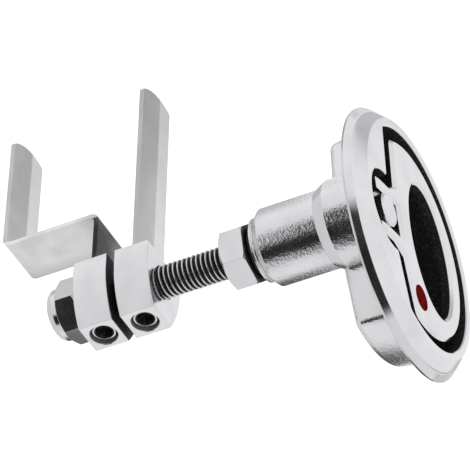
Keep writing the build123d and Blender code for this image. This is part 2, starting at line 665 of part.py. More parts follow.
os.makedirs("parts", exist_ok=True)
make_housing()
make_bearing_barrel()
make_front_bush()
make_spindle_seal()
make_thrust_washer()
make_return_spring()
make_spring_seat()
make_rear_bush()
make_spindle()
make_pivot_pin()
make_handle()
make_red_indicator()
make_stud()
make_jam_nut()
make_lock_nut()
make_nylon_ring()
for side, block_z in (("inner", INNER_BLOCK_Z), ("outer", OUTER_BLOCK_Z)):
    make_clamp_block(side + "_clamp_block", block_z)
    make_set_screw(side + "_set_screw", block_z)
make_inner_arm()
make_outer_arm()
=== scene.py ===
import json
import math

import bmesh
import bpy
from mathutils import Matrix, Vector


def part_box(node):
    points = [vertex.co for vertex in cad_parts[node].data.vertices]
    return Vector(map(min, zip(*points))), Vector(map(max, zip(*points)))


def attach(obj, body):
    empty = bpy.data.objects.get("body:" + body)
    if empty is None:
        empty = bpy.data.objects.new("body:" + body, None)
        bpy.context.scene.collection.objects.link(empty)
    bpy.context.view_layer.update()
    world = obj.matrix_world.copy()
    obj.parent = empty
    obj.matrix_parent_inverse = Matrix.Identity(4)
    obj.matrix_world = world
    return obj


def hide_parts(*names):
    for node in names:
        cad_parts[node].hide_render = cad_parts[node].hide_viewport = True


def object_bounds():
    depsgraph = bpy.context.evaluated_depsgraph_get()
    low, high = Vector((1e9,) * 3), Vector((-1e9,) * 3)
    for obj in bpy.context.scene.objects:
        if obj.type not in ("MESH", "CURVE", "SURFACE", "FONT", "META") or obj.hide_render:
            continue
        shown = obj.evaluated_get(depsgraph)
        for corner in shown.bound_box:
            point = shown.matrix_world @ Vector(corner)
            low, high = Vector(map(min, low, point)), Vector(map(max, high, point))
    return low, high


# Dressed compression latch, in metres, in the frame of the solids: +Z points out of the front
# face, +Y from the middle of the bezel toward the spindle, and the arms point near +X.

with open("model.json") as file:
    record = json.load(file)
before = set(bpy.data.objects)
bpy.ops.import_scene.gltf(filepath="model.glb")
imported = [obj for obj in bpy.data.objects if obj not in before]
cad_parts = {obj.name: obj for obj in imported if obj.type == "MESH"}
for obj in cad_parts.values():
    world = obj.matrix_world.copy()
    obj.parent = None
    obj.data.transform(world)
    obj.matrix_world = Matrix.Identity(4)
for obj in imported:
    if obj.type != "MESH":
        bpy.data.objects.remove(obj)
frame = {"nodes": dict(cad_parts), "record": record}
cad_low, cad_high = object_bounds()
stud_low, stud_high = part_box("stud")
screw_low, screw_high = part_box("inner_set_screw")
washer_low, washer_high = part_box("thrust_washer")
housing_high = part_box("housing")[1]
handle_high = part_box("handle")[1]
barrel_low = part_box("bearing_barrel")[0]
jam_nut_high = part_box("jam_nut")[1]
stepped_arm_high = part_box("outer_arm")[1]

MM = 0.001

# ---- thread ----
THREAD_PITCH = 1.5 * MM          # coarse M10 thread
THREAD_DEPTH = 0.92 * MM
THREAD_STEPS = 40                # mesh steps in one turn of the thread
# One pitch: share of the pitch along the rod, and share of the depth below the crest.
THREAD_PROFILE = ((0.0, 0.0), (0.12, 0.0), (0.40, 0.85), (0.47, 1.0), (0.60, 1.0), (0.67, 0.85))
THREAD_WELD = 0.005 * MM         # mesh points closer than this become one

# ---- room ----
SURROUND_COLOR = (0.96, 0.97, 1.0, 1)
SURROUND_STRENGTH = 0.6
FLOOR_DROP = 150 * MM            # floor below the lowest point of the latch
FLOOR_SIZE = 8
FLOOR_COLOR = (0.8, 0.8, 0.8, 1)
FLOOR_GLOW = 0.65                # what the lit floor lacks to look white
KEY_PLACE = Vector((-0.5, 0.3, 0.9))
KEY_AIM = Vector((0, 0, -0.05))
KEY_SIZE = 0.5
KEY_POWER = 4                    # watts
TENT_RADIUS = 0.28
TENT_HEIGHT = 0.62
TENT_FOOT_GAP = 5 * MM           # tent above the floor
TENT_SIDES = 96
TENT_FADE = (-0.10, -0.02)       # heights above its middle where low tones give way to high ones
# Tones of the tent: azimuth in degrees from +X, and the brightness there.
TENT_TONES = ((-180, 0.90), (-158, 0.92), (-145, 0.86), (-122, 0.13), (-90, 0.12), (-60, 0.50),
              (-29, 0.55), (0, 0.60), (27, 0.95), (60, 0.85), (102, 0.78), (113, 0.02),
              (142, 0.02), (153, 0.80), (180, 0.80))
TENT_HIGH_TONES = ((-180, 0.92), (-54, 0.92), (-46, 0.58), (-8, 0.60), (10, 0.88), (40, 0.95),
                   (180, 0.92))
TENT_COOL = 1.02                 # blue of those tones against their red and green
TENT_FOOT_TONE = (0.76, 0.76, 0.77, 1)
TENT_FOOT_TOP = 10 * MM          # height of the foot above the tent's lower edge
# Dark flag in the tent that the rim of the bezel mirrors: heights in the frame, and tones.
RIM_FLAG = (-0.108, -0.030)
RIM_FLAG_SOFT = 2 * MM
RIM_FLAG_TONES = ((-180, 0.80), (30, 0.95), (72, 0.85), (84, 0.02), (160, 0.02), (170, 0.80),
                  (180, 0.80))
CAMERA_PLACE = Vector((-0.3850, 0.7191, 0.2431))
CAMERA_AIM = Vector((0.0076, 0.0221, -0.0418))
CAMERA_ROLL = math.radians(71.92)
CAMERA_LENS = 226.6              # focal length and sensor width, in millimetres
CAMERA_SENSOR = 36
CAMERA_CLIP = (0.01, 20)

# ---- places on the latch where a finish or painted shade changes ----
ORIGIN = (0, 0, 0)
SIDEWAYS = (1, 0, 0)
TOWARD_SPINDLE = (0, 1, 0)
UP = (0, 0, 1)
SPINDLE = ((stud_low.x + stud_high.x) / 2, (stud_low.y + stud_high.y) / 2, 0)
STUD_R = (stud_high.x - stud_low.x) / 2
SCREW_R = (screw_high.z - screw_low.z) / 2
WASHER_R = (washer_high.x - washer_low.x) / 2
ARM_TURN = math.radians(-16.5)   # arms, about the spindle, from +X
ALONG = (math.cos(ARM_TURN), math.sin(ARM_TURN), 0)
ACROSS = (-math.sin(ARM_TURN), math.cos(ARM_TURN), 0)
SOFT = 0.1 * MM                  # half width of the change from one finish to the next
# Edges of the painted shade in the recess, the cup and the spindle pocket.
RECESS_R = handle_high.x + 4.1 * MM      # just outside the round wall of the recess
CUP_DRAFT = math.tan(math.radians(9))
RECESS_MOUTH = housing_high.z - 0.4 * MM
RECESS_FLOOR = washer_low.z - 0.2 * MM   # just below the floor of the recess
ROOF_FALL = math.tan(math.radians(10))
ROOF_RIDGE = SPINDLE[1] + 1.0 * MM       # just past the shoulders of the recess
POCKET_R = WASHER_R + 0.8 * MM   # just outside the wall of the spindle pocket
CAST_TOP = -0.5 * MM             # the cast skin starts below the seating plane
RIM_START = housing_high.x - 3.7 * MM    # the rolled rim, outward from here
RIM_FOOT = 0.05 * MM
RIM_FOOT_SOFT = 0.02 * MM
# Heights where the rim turns from downward to level, and from level to the slope of the band.
RIM_TURN = (0.35 * MM, 0.60 * MM)
RIM_BLEND = (2.3 * MM, 3.3 * MM)
RIM_SOFT = 0.2 * MM
RIM_DOWN = -0.58                 # slope of the normal under the rim
BAND_RISE = 0.907                # slope of the band's own normal
# Painted shade on the spindle's end below this height.
SOCKET_END_SHOWN = barrel_low.z + 0.4 * MM
# Painted shade on the jam nut's front above this height.
NUT_FRONT = jam_nut_high.z - 0.45 * MM
# Oval of the finger hole, whose wall gets painted shade.
HOLE_MIDDLE = (0, -9.3 * MM, 0)
HOLE_HALF = Vector((21.3 * MM, 14.3 * MM, 0))
HOLE_LIMIT = (1.03, 0.01)        # edge of the oval just past its wall, squared, and its softness
HOLE_BEVEL_FOOT = handle_high.z - 0.85 * MM
BLOCK_BORE_R = STUD_R + 0.2 * MM
TAPPED_R = SCREW_R + 0.12 * MM
GAP_FACE_T = 0.2 * MM            # how far the painted shade of the gap between the blocks reaches onto each
SOCKET_CORNER_R = 2.93 * MM      # painted shade in the screws' hexagon sockets, to just past their corners
# Painted shade in the thread's roots, inward of this radius.
THREAD_DARK_R = STUD_R - 0.28 * MM
THREAD_SOFT = 0.08 * MM
SIDE_SHADE_EDGE = -2.0 * MM          # painted shade on one side of an arm starts here, from its middle
SIDE_SHADE_SHARE = (0.75, 1.1)       # how far the painted shade covers that side, with its streaks
STEP_IN = 26.6 * MM              # middle leg of the outer arm, from the spindle axis
STEP_OUT = 28.6 * MM
ARM_SOFT = 0.3 * MM
STEP_IN_SOFT = 0.4 * MM
FAR_EDGE_SHADE = (-8.3 * MM, -3 * MM)     # across the middle leg, from painted shade to bright
# Along the middle leg to its upper bend, from bright to painted shade.
BEND_SHADE = (stepped_arm_high.z - 10 * MM, stepped_arm_high.z - 1 * MM)
EDGE_SHADE_SHARE = 0.9                 # how far the painted shade covers those edges
PATCH_SHARE = 0.5                # and the patches between them
# Heavier painted shade on the first leg of the outer arm, and its streaks.
HEAVY_SHADE_ACROSS = (-7 * MM, 1 * MM)         # across the first leg, from the far side to the near one
HEAVY_SHADE_SHARE = (0.74, 0.97)
HEAVY_SHADE_STREAKS = 0.08

# ---- finishes and painted shade ----
POLISHED = (0.80, 0.80, 0.81, 1)
TURNED = (0.76, 0.76, 0.77, 1)
DRAWN_WIRE = (0.55, 0.55, 0.56, 1)
BRUSHED = (0.84, 0.83, 0.82, 1)
STEPPED_BRUSHED = (0.88, 0.87, 0.86, 1)
SCREW_STEEL = (0.75, 0.75, 0.76, 1)
ACETAL = (0.82, 0.81, 0.77, 1)
NYLON = (0.80, 0.81, 0.82, 1)
RUBBER = (0.03, 0.03, 0.03, 1)
RED = (0.17, 0.007, 0.006, 1)
# Roughness of each finish, from its smooth spots to its rough ones.
POLISHED_ROUGH = (0.07, 0.16)
HOUSING_ROUGH = (0.08, 0.17)
NUT_ROUGH = (0.09, 0.18)
CAST_ROUGH = (0.10, 0.20)
THREAD_ROUGH = (0.12, 0.20)
TURNED_ROUGH = (0.14, 0.22)
SCREW_ROUGH = (0.16, 0.26)
WIRE_ROUGH = (0.22, 0.30)
STEPPED_ROUGH = (0.22, 0.32)
BRUSHED_ROUGH = (0.26, 0.36)
STAIN_TONE = 0.90                # stained steel against clean steel
STAIN_RANGE = (0.42, 0.72)       # of the noise, from clean to stained
ROUGH_RANGE = (0.30, 0.75)       # of the noise, from smooth to rough
STREAK_RANGE = (0.35, 0.65)
PATCH_RANGE = (0.45, 0.75)
SPECK_RANGE = (0.52, 0.78)
MOTTLE_RANGE = (0.35, 0.70)
SHADE_AND_PATCH_TONE = 0.62                 # painted shade, and the random patches, against the bright steel
# Colour of the heavier painted shade on the outer arm's first leg.
HEAVY_SHADE_COLOR = (0.03, 0.03, 0.033, 1)
# Near-black painted shade for hollows, bores and gaps: its colour, lighter specks, roughness and
# gloss.
PAINTED_SHADE_COLOR = (0.012, 0.012, 0.013, 1)
PAINTED_SHADE_SPECK = (0.10, 0.10, 0.105, 1)
PAINTED_SHADE_ROUGHNESS = 0.5
PAINTED_SHADE_GLOSS = 0.25
EDGE_R = 0.15 * MM               # every edge of the steel pieces
CAST_DEPTH = 0.10 * MM
SLOW_WAVE = 0.02 * MM            # heights of the hand polish, on large and on small pieces
SMALL_WAVE = 0.01 * MM
FAINT_WAVE = 0.004 * MM
FINE_GRAIN = 0.002 * MM
BRUSH_GRAIN = 0.004 * MM
ALONG_ARM = (0.1, 1, 1)          # squeeze of the noise, for scratches along the arms
ALONG_SPINDLE = (1, 1, 6)        # and for turning marks
STREAKED = (1, 1, 3)
PLASTIC_GRAIN = 0.01 * MM
PLASTIC_ROUGH_SPAN = 0.1
# Scales of the noise, in cells to the metre.
STREAK_SCALE = 60
STAIN_SCALE = 90
PATCH_SCALE = 130
ROUGH_SCALE = 160
WAVE_SCALE = 260
MOTTLE_SCALE = 400
CAST_SCALE = 1100
GRAIN_SCALE = 2600
PLASTIC_GRAIN_SCALE = 3000
BEVEL_SAMPLES = 4


# ---- node helpers ----

def empty_material(name):
    """Empty material; gives the material, its node tree and its output node."""
    material = bpy.data.materials.new(name)
    material.use_nodes = True
    tree = material.node_tree
    tree.nodes.clear()
    return material, tree, tree.nodes.new("ShaderNodeOutputMaterial")


def shaded_material(name):
    """Material with a Principled shader; gives the material, its node tree and the shader."""
    material, tree, output = empty_material(name)
    shader = tree.nodes.new("ShaderNodeBsdfPrincipled")
    tree.links.new(shader.outputs["BSDF"], output.inputs["Surface"])
    return material, tree, shader


def plug(tree, source, target):
    """Links a socket, or sets a plain value."""
    if isinstance(source, (int, float, tuple)):
        target.default_value = source
    else:
        tree.links.new(source, target)


def position(tree):
    """Object coordinates, in metres."""
    return tree.nodes.new("ShaderNodeTexCoord").outputs["Object"]


def noise(tree, scale, detail=2.0, stretch=(1, 1, 1), roughness=0.5):
    """Noise value of that scale, in cells to the metre, squeezed along each axis by stretch."""
    mapping = tree.nodes.new("ShaderNodeMapping")
    mapping.inputs["Scale"].default_value = stretch
    tree.links.new(position(tree), mapping.inputs["Vector"])
    texture = tree.nodes.new("ShaderNodeTexNoise")
    texture.inputs["Scale"].default_value = scale
    texture.inputs["Detail"].default_value = detail
    texture.inputs["Roughness"].default_value = roughness
    tree.links.new(mapping.outputs["Vector"], texture.inputs["Vector"])
    return texture.outputs["Fac"]


def spread(tree, value, low, high, start=0.0, end=1.0):
    """Carries value from start..end over to low..high, held at the ends."""
    node = tree.nodes.new("ShaderNodeMapRange")
    tree.links.new(value, node.inputs["Value"])
    node.inputs["From Min"].default_value = start
    node.inputs["From Max"].default_value = end
    node.inputs["To Min"].default_value = low
    node.inputs["To Max"].default_value = high
    return node.outputs["Result"]


def combine(tree, operation, first, second):
    """Result of a math operation on two sockets or numbers."""
    node = tree.nodes.new("ShaderNodeMath")
    node.operation = operation
    plug(tree, first, node.inputs[0])
    plug(tree, second, node.inputs[1])
    return node.outputs["Value"]


def blend_colors(tree, share, first, second):
    """Mix of two colours."""
    node = tree.nodes.new("ShaderNodeMix")
    node.data_type = "RGBA"
    plug(tree, share, node.inputs["Factor"])
    plug(tree, first, node.inputs["A"])
    plug(tree, second, node.inputs["B"])
    return node.outputs["Result"]


def bump(tree, height, distance, under=None):
    """Normal with the height added, over an earlier normal if there is one."""
    node = tree.nodes.new("ShaderNodeBump")
    node.inputs["Distance"].default_value = distance
    node.inputs["Strength"].default_value = 1.0
    tree.links.new(height, node.inputs["Height"])
    if under is not None:
        tree.links.new(under, node.inputs["Normal"])
    return node.outputs["Normal"]


def blend_vectors(tree, share, first, second):
    """Mix of two vectors."""
    node = tree.nodes.new("ShaderNodeMix")
    node.data_type = "VECTOR"
    node.factor_mode = "UNIFORM"
    tree.links.new(share, node.inputs["Factor"])
    # The node has inputs A and B and an output for each data type: these are the vector ones.
    tree.links.new(first, node.inputs[4])
    tree.links.new(second, node.inputs[5])
    return node.outputs[1]


def vector_math(tree, operation, first, second=None, output="Vector"):
    """Result of a vector operation on one or two sockets or plain vectors."""
    node = tree.nodes.new("ShaderNodeVectorMath")
    node.operation = operation
    plug(tree, first, node.inputs[0])
    if second is not None:
        plug(tree, second, node.inputs[1])
    return node.outputs[output]


def distance_from_axis(tree, place, direction):
    """Distance from the line through place along direction."""
    offset = vector_math(tree, "SUBTRACT", position(tree), place)
    across = vector_math(tree, "CROSS_PRODUCT", offset, direction)
    return vector_math(tree, "LENGTH", across, output="Value")


def reach_along(tree, place, direction):
    """Distance from place, measured along direction."""
    offset = vector_math(tree, "SUBTRACT", position(tree), place)
    return vector_math(tree, "DOT_PRODUCT", offset, direction, output="Value")


def rolled_rim(tree):
    """Normal of the rolled rim: it turns outward from below and runs over into the band."""
    height = reach_along(tree, ORIGIN, UP)
    slope = combine(tree, "ADD", spread(tree, height, RIM_DOWN, 0.0, *RIM_TURN),
                    spread(tree, height, 0.0, BAND_RISE, *RIM_BLEND))
    lift = tree.nodes.new("ShaderNodeCombineXYZ")
    tree.links.new(slope, lift.inputs["Z"])
    outward = vector_math(tree, "MULTIPLY", position(tree), (1, 1, 0))
    outward = vector_math(tree, "NORMALIZE", outward)
    tilted = vector_math(tree, "ADD", outward, lift.outputs["Vector"])
    return vector_math(tree, "NORMALIZE", tilted)


def soft_edges(tree, radius):
    """Normal that rounds every edge by that radius."""
    node = tree.nodes.new("ShaderNodeBevel")
    node.samples = BEVEL_SAMPLES
    node.inputs["Radius"].default_value = radius
    return node.outputs["Normal"]


def below(tree, value, limit, soft=SOFT):
    """1 below the limit and 0 above it."""
    return spread(tree, value, 1.0, 0.0, limit - soft, limit + soft)


def above(tree, value, limit, soft=SOFT):
    """1 above the limit and 0 below it."""
    return spread(tree, value, 0.0, 1.0, limit - soft, limit + soft)


def scaled(color, share):
    """Colour made darker by that share."""
    return tuple(c * share for c in color[:3]) + (1,)


# ---- lights, world, floor and camera ----

def seen_directly(tree):
    """1 for the eye and for what gloss and glass show, 0 for light that falls on a surface."""
    rays = tree.nodes.new("ShaderNodeLightPath")
    seen = combine(tree, "MAXIMUM", rays.outputs["Is Camera Ray"], rays.outputs["Is Glossy Ray"])
    return combine(tree, "MAXIMUM", seen, rays.outputs["Is Transmission Ray"])


def make_world():
    """Even pale light, and a white surround for the eye, for gloss and for glass."""
    world = bpy.data.worlds.new("studio")
    bpy.context.scene.world = world
    world.use_nodes = True
    tree = world.node_tree
    tree.nodes.clear()
    output = tree.nodes.new("ShaderNodeOutputWorld")
    plain = tree.nodes.new("ShaderNodeBackground")
    plain.inputs["Color"].default_value = SURROUND_COLOR
    plain.inputs["Strength"].default_value = SURROUND_STRENGTH
    white = tree.nodes.new("ShaderNodeBackground")
    white.inputs["Color"].default_value = (1, 1, 1, 1)
    mix = tree.nodes.new("ShaderNodeMixShader")
    tree.links.new(seen_directly(tree), mix.inputs["Fac"])
    tree.links.new(plain.outputs["Background"], mix.inputs[1])
    tree.links.new(white.outputs["Background"], mix.inputs[2])
    tree.links.new(mix.outputs["Shader"], output.inputs["Surface"])


def make_floor():
    """Pale floor that looks white and keeps the latch's shadow."""
    floor_z = cad_low.z - FLOOR_DROP
    bpy.ops.mesh.primitive_plane_add(size=FLOOR_SIZE, location=(0, 0, floor_z))
    floor = bpy.context.object
    floor.name = "floor"
    material, tree, output = empty_material("floor")
    pale = tree.nodes.new("ShaderNodeBsdfDiffuse")
    pale.inputs["Color"].default_value = FLOOR_COLOR
    glow = tree.nodes.new("ShaderNodeEmission")
    strength = combine(tree, "MULTIPLY", seen_directly(tree), FLOOR_GLOW)
    tree.links.new(strength, glow.inputs["Strength"])
    both = tree.nodes.new("ShaderNodeAddShader")
    tree.links.new(pale.outputs["BSDF"], both.inputs[0])
    tree.links.new(glow.outputs["Emission"], both.inputs[1])
    tree.links.new(both.outputs["Shader"], output.inputs["Surface"])
    floor.data.materials.append(material)


def make_key_lamp():
    """Square area lamp that lights the latch and leaves no highlight on the polished steel."""
    lamp = bpy.data.lights.new("key", "AREA")
    lamp.shape = "SQUARE"
    lamp.size = KEY_SIZE
    lamp.energy = KEY_POWER
    holder = bpy.data.objects.new("key", lamp)
    bpy.context.scene.collection.objects.link(holder)
    holder.location = KEY_PLACE
    holder.rotation_euler = (KEY_AIM - KEY_PLACE).to_track_quat("-Z", "Y").to_euler()
    holder.visible_glossy = False


def tones_around(tree, tones):
    """Grey that follows the azimuth."""
    around = tree.nodes.new("ShaderNodeTexGradient")
    around.gradient_type = "RADIAL"
    tree.links.new(position(tree), around.inputs["Vector"])
    ramp = tree.nodes.new("ShaderNodeValToRGB")
    ramp.color_ramp.elements.remove(ramp.color_ramp.elements[1])
    for azimuth, level in tones:
        stop = ramp.color_ramp.elements.new((azimuth + 180) / 360)
        stop.color = (level, level, level * TENT_COOL, 1)
    ramp.color_ramp.elements.remove(ramp.color_ramp.elements[0])
    tree.links.new(around.outputs["Fac"], ramp.inputs["Fac"])
    return ramp.outputs["Color"]


def make_tent():
    """Light tent with dark flags, which shows only in reflections.

    Its grey follows the azimuth, with other tones high up, at its foot, and at the height that the
    rim of the bezel mirrors.
    """
    middle_z = cad_low.z - FLOOR_DROP + TENT_FOOT_GAP + TENT_HEIGHT / 2
    bpy.ops.mesh.primitive_cylinder_add(vertices=TENT_SIDES, radius=TENT_RADIUS, depth=TENT_HEIGHT,
                                        location=(0, 0, middle_z))
    tent = bpy.context.object
    tent.name = "light_tent"
    material, tree, output = empty_material("light_tent")
    height = reach_along(tree, ORIGIN, UP)
    top = spread(tree, height, 0.0, 1.0, *TENT_FADE)
    low_tones = tones_around(tree, TENT_TONES)
    tone = blend_colors(tree, top, low_tones, tones_around(tree, TENT_HIGH_TONES))
    flag = combine(tree, "MULTIPLY", above(tree, height, RIM_FLAG[0] - middle_z, RIM_FLAG_SOFT),
                   below(tree, height, RIM_FLAG[1] - middle_z, RIM_FLAG_SOFT))
    tone = blend_colors(tree, flag, tone, tones_around(tree, RIM_FLAG_TONES))
    foot = below(tree, height, TENT_FOOT_TOP - TENT_HEIGHT / 2, TENT_FOOT_TOP)
    tone = blend_colors(tree, foot, tone, TENT_FOOT_TONE)
    card = tree.nodes.new("ShaderNodeEmission")
    tree.links.new(tone, card.inputs["Color"])
    tree.links.new(card.outputs["Emission"], output.inputs["Surface"])
    tent.data.materials.append(material)
    tent.visible_camera = False
    tent.visible_diffuse = False
    tent.visible_transmission = False
    tent.visible_shadow = False


def make_camera():
    """Camera beside and a little in front of the latch, rolled so that the arms point up."""
    lens = bpy.data.cameras.new("camera")
    lens.sensor_width = CAMERA_SENSOR
    lens.lens = CAMERA_LENS
    lens.clip_start, lens.clip_end = CAMERA_CLIP
    camera = bpy.data.objects.new("camera", lens)
    bpy.context.scene.collection.objects.link(camera)
    look = (CAMERA_AIM - CAMERA_PLACE).to_track_quat("-Z", "Y").to_matrix().to_4x4()
    roll = Matrix.Rotation(CAMERA_ROLL, 4, "Z")
    camera.matrix_world = Matrix.Translation(CAMERA_PLACE) @ look @ roll
    bpy.context.scene.camera = camera


# ---- masks: where the finish of a piece changes, or where shade is painted on it ----

def in_recess(tree):
    """Inside of the recess, the cup and the spindle pocket, below the eased mouth, where shade is
    painted.

    The walls draw in behind the seating plane, and so does the limit.
    """
    height = reach_along(tree, ORIGIN, UP)
    depth = combine(tree, "MAXIMUM", combine(tree, "MULTIPLY", height, -1.0), 0.0)
    draft = combine(tree, "MULTIPLY", depth, CUP_DRAFT)
    span = combine(tree, "ADD", distance_from_axis(tree, ORIGIN, UP), draft)
    round_part = below(tree, span, RECESS_R)
    side = combine(tree, "ABSOLUTE", reach_along(tree, ORIGIN, SIDEWAYS), 0.0)
    roof = combine(tree, "ADD", reach_along(tree, ORIGIN, TOWARD_SPINDLE),
                   combine(tree, "MULTIPLY", side, ROOF_FALL))
    roof = combine(tree, "ADD", roof, draft)
    round_part = combine(tree, "MULTIPLY", round_part, below(tree, roof, ROOF_RIDGE))
    pocket = below(tree, distance_from_axis(tree, SPINDLE, UP), POCKET_R)
    inside = combine(tree, "MAXIMUM", round_part, pocket)
    inside = combine(tree, "MULTIPLY", inside, below(tree, height, RECESS_MOUTH))
    return combine(tree, "MULTIPLY", inside, above(tree, height, RECESS_FLOOR))


def at_rim(tree):
    """Rolled outer edge of the bezel."""
    height = reach_along(tree, ORIGIN, UP)
    outer = above(tree, distance_from_axis(tree, ORIGIN, UP), RIM_START, RIM_SOFT)
    outer = combine(tree, "MULTIPLY", outer, below(tree, height, RIM_BLEND[1], RIM_SOFT))
    return combine(tree, "MULTIPLY", outer, above(tree, height, RIM_FOOT, RIM_FOOT_SOFT))


def behind_seat(tree):
    """Cast skin of the cup and hub, which the polishing wheel leaves alone."""
    return below(tree, reach_along(tree, ORIGIN, UP), CAST_TOP)


def whole(tree):
    """The whole piece."""
    return 1.0


def in_finger_hole(tree):
    """Wall of the finger hole below its bevel, where shade is painted."""
    along = combine(tree, "DIVIDE", reach_along(tree, HOLE_MIDDLE, SIDEWAYS), HOLE_HALF.x)
    across = combine(tree, "DIVIDE", reach_along(tree, HOLE_MIDDLE, TOWARD_SPINDLE), HOLE_HALF.y)
    square = combine(tree, "ADD", combine(tree, "MULTIPLY", along, along),
                     combine(tree, "MULTIPLY", across, across))
    return combine(tree, "MULTIPLY", below(tree, square, *HOLE_LIMIT),
                   below(tree, reach_along(tree, ORIGIN, UP), HOLE_BEVEL_FOOT))


def in_bores(middle_z, shut_low, shut_high):
    """Bores of a clamp block, and its face in the narrow gap between both blocks, where shade is
    painted.
    """
    place = (SPINDLE[0], SPINDLE[1], middle_z)

    def mask(tree):
        bore = below(tree, distance_from_axis(tree, place, UP), BLOCK_BORE_R)
        tapped = below(tree, distance_from_axis(tree, place, ALONG), TAPPED_R)
        foot_side = below(tree, reach_along(tree, place, ALONG), 0.0)
        tapped = combine(tree, "MULTIPLY", tapped, foot_side)
        height = reach_along(tree, ORIGIN, UP)
        shut = combine(tree, "MULTIPLY", above(tree, height, shut_low),
                       below(tree, height, shut_high))
        return combine(tree, "MAXIMUM", combine(tree, "MAXIMUM", bore, tapped), shut)
    return mask


def in_socket(middle_z):
    """Hexagon socket of a set screw, where shade is painted."""
    place = (SPINDLE[0], SPINDLE[1], middle_z)
    return lambda tree: below(tree, distance_from_axis(tree, place, ALONG), SOCKET_CORNER_R)


def in_thread(tree):
    """Roots of the thread on the stud, where shade is painted."""
    return below(tree, distance_from_axis(tree, SPINDLE, UP), THREAD_DARK_R, THREAD_SOFT)


def shaded_arm_side(tree):
    """Side of an arm where shade is painted, with streaks along it."""
    side = above(tree, reach_along(tree, SPINDLE, ACROSS), SIDE_SHADE_EDGE, ARM_SOFT)
    streaks = noise(tree, STREAK_SCALE, detail=4, stretch=STREAKED)
    streaks = spread(tree, streaks, *SIDE_SHADE_SHARE, *STREAK_RANGE)
    return combine(tree, "MULTIPLY", side, streaks)


def stepped_arm_shade_and_patches(tree):
    """Painted shade on the outer arm: one side of its tip leg and edges of its middle leg, with
    random darker patches there.
    """
    along = reach_along(tree, SPINDLE, ALONG)
    across = reach_along(tree, SPINDLE, ACROSS)
    height = reach_along(tree, ORIGIN, UP)
    tip_leg = combine(tree, "MULTIPLY", shaded_arm_side(tree), above(tree, along, STEP_OUT, ARM_SOFT))
    middle = combine(tree, "MULTIPLY", above(tree, along, STEP_IN, STEP_IN_SOFT),
                     below(tree, along, STEP_OUT, ARM_SOFT))
    far_edge = spread(tree, across, EDGE_SHADE_SHARE, 0.0, *FAR_EDGE_SHADE)
    bend = spread(tree, height, 0.0, EDGE_SHADE_SHARE, *BEND_SHADE)
    patches = spread(tree, noise(tree, PATCH_SCALE, detail=3), 0.0, PATCH_SHARE, *PATCH_RANGE)
    shade_and_patches = combine(tree, "MAXIMUM", combine(tree, "MAXIMUM", far_edge, bend), patches)
    return combine(tree, "MAXIMUM", tip_leg, combine(tree, "MULTIPLY", middle, shade_and_patches))


def first_leg_shade(tree):
    """Painted shade on the outer arm's first leg: heavy on the near side, lighter on the far side.
    """
    across = reach_along(tree, SPINDLE, ACROSS)
    leg = below(tree, reach_along(tree, SPINDLE, ALONG), STEP_IN, ARM_SOFT)
    streaks = noise(tree, STREAK_SCALE, detail=3, stretch=STREAKED)
    streaks = spread(tree, streaks, -HEAVY_SHADE_STREAKS, HEAVY_SHADE_STREAKS, *STREAK_RANGE)
    share = combine(tree, "ADD", spread(tree, across, *HEAVY_SHADE_SHARE, *HEAVY_SHADE_ACROSS), streaks)
    return combine(tree, "MULTIPLY", leg, share)


def socket_end(tree):
    """Painted shade on the end of the spindle between barrel and nut."""
    return below(tree, reach_along(tree, ORIGIN, UP), SOCKET_END_SHOWN)


def nut_front(tree):
    """Painted shade on the front face and chamfer of the jam nut."""
    return above(tree, reach_along(tree, ORIGIN, UP), NUT_FRONT)


# ---- materials ----

